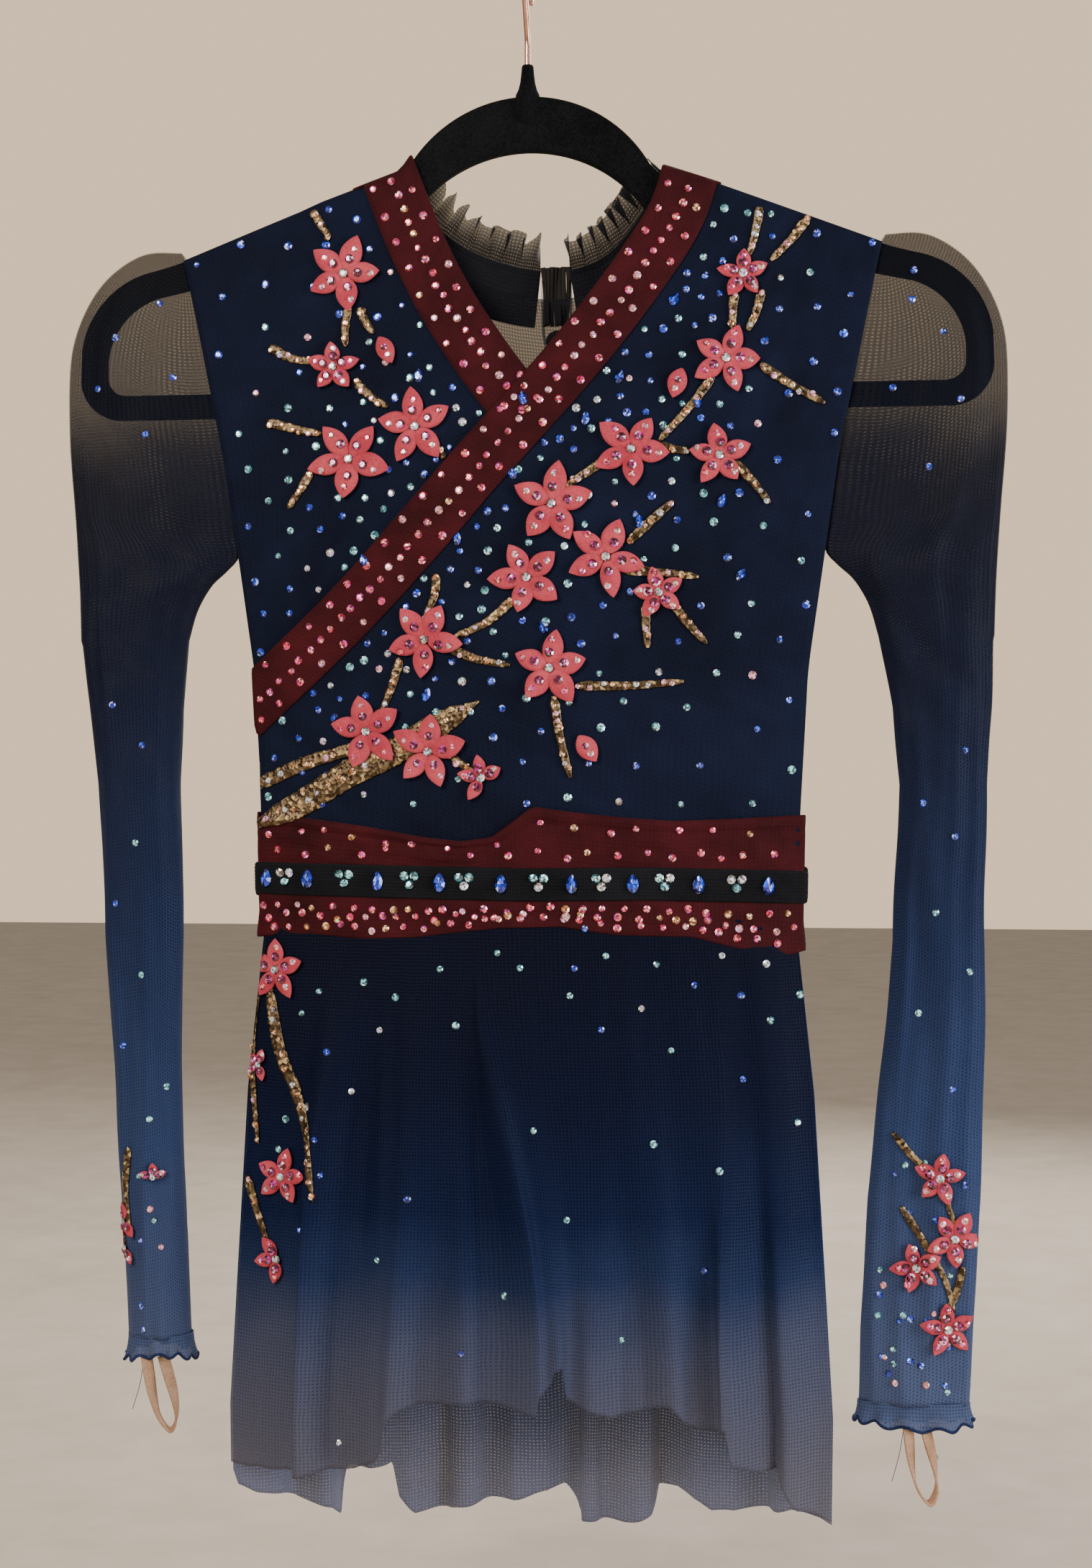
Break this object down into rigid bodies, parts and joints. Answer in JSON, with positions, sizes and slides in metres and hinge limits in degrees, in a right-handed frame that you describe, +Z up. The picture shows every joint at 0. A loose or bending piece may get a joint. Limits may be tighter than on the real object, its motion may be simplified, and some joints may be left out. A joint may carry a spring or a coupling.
{
  "type": "performance dress on a hanger",
  "caption": "Kimono-style long-sleeved skating dress with wrap neck bands, waist sash, ombre skirt and blossom appliques, on a flocked hanger with a swivel hook.",
  "frame": {"origin": "where a rail sits inside the top of the hanger's hook", "axes": "+Z up along the hanging dress, the dress faces -Y, +X to the viewer's right"},
  "size_m": [0.46, 0.0656, 0.7849],
  "materials": {
    "flock": "black flocking over plastic",
    "wire": "rose gold plated steel wire",
    "navy": "matt stretch velvet",
    "maroon": "stretch velvet",
    "black": "matt stretch fabric",
    "mesh": "sheer stretch mesh",
    "clear_elastic": "clear elastic",
    "skirt": "sheer ombre skirt mesh",
    "elastic": "skin-tone elastic",
    "petal": "coral felt-like applique",
    "bark": "bronze metallic applique"
  },
  "bodies": {
    "hook": {"hanger_hook": "wire"},
    "hanger": {"hanger_frame": "flock"},
    "dress": {"neck_band_over": "maroon", "neck_band_under": "maroon", "bodice_front_over": "navy", "bodice_front_under": "navy", "back_collar_left": "black", "back_collar_right": "black", "collar_ruffle_left": "black", "collar_ruffle_right": "black", "bodice_back_left": "navy", "bodice_back_right": "navy", "back_yoke": "mesh", "back_button": "navy", "sash_upper": "maroon", "sash_cord": "black", "sash_lower": "maroon", "skirt_front": "skirt", "skirt_back": "skirt", "briefs_front": "navy", "briefs_back": "navy", "crotch_gusset": "navy", "sleeve_cap_left": "mesh", "sleeve_cap_right": "mesh", "blossom_shoulder_left": "petal", "blossom_chest_left": "petal", "blossom_heart": "petal", "blossom_side_left": "petal", "blossom_shoulder_right": "petal", "blossom_upper_right": "petal", "blossom_mid_right": "petal", "blossom_right": "petal", "blossom_centre_upper": "petal", "blossom_centre_lower": "petal", "blossom_centre_right": "petal", "blossom_small_right": "petal", "blossom_lower_mid": "petal", "blossom_lower_right": "petal", "blossom_waist_left": "petal", "blossom_waist_mid": "petal", "blossom_skirt_upper": "petal", "blossom_skirt_lower": "petal", "branch_waist": "bark", "branch_side": "bark", "branch_right": "bark", "branch_lower_right": "bark", "branch_skirt": "bark"},
    "sleeve_left": {"sleeve_left": "mesh", "cuff_hem_left": "mesh"},
    "loop_left": {"finger_loop_left": "elastic"},
    "sleeve_right": {"sleeve_right": "mesh", "cuff_hem_right": "mesh"},
    "loop_right": {"finger_loop_right": "elastic"},
    "closure": {"button_loop": "clear_elastic"}
  },
  "joints": [
    {"name": "hook_swivel", "type": "hinge", "parent": "hook", "child": "hanger", "pos_m": [0, 0, -0.07], "axis": [0, 0, 1], "continuous": true},
    {"name": "dress_lift", "type": "slide", "parent": "hanger", "child": "dress", "axis": [0, 0, 1], "range_m": [0, 0.025]},
    {"name": "sleeve_swing_left", "type": "hinge", "parent": "dress", "child": "sleeve_left", "pos_m": [-0.1955, 0, -0.32], "axis": [1, 0, 0], "range_deg": [-20, 20]},
    {"name": "sleeve_swing_right", "type": "hinge", "parent": "dress", "child": "sleeve_right", "pos_m": [0.1955, 0, -0.32], "axis": [1, 0, 0], "range_deg": [-20, 20]},
    {"name": "finger_loop_fold_left", "type": "hinge", "parent": "sleeve_left", "child": "loop_left", "pos_m": [-0.1835, -0.0098, -0.6937], "axis": [1, 0, 0], "range_deg": [-40, 40]},
    {"name": "finger_loop_fold_right", "type": "hinge", "parent": "sleeve_right", "child": "loop_right", "pos_m": [0.186, -0.0064, -0.7177], "axis": [1, 0, 0], "range_deg": [-40, 40]},
    {"name": "button_loop_fold", "type": "hinge", "parent": "dress", "child": "closure", "pos_m": [0.013, 0.0095, -0.163], "axis": [1, 0, 0], "range_deg": [0, 60]}
  ]
}
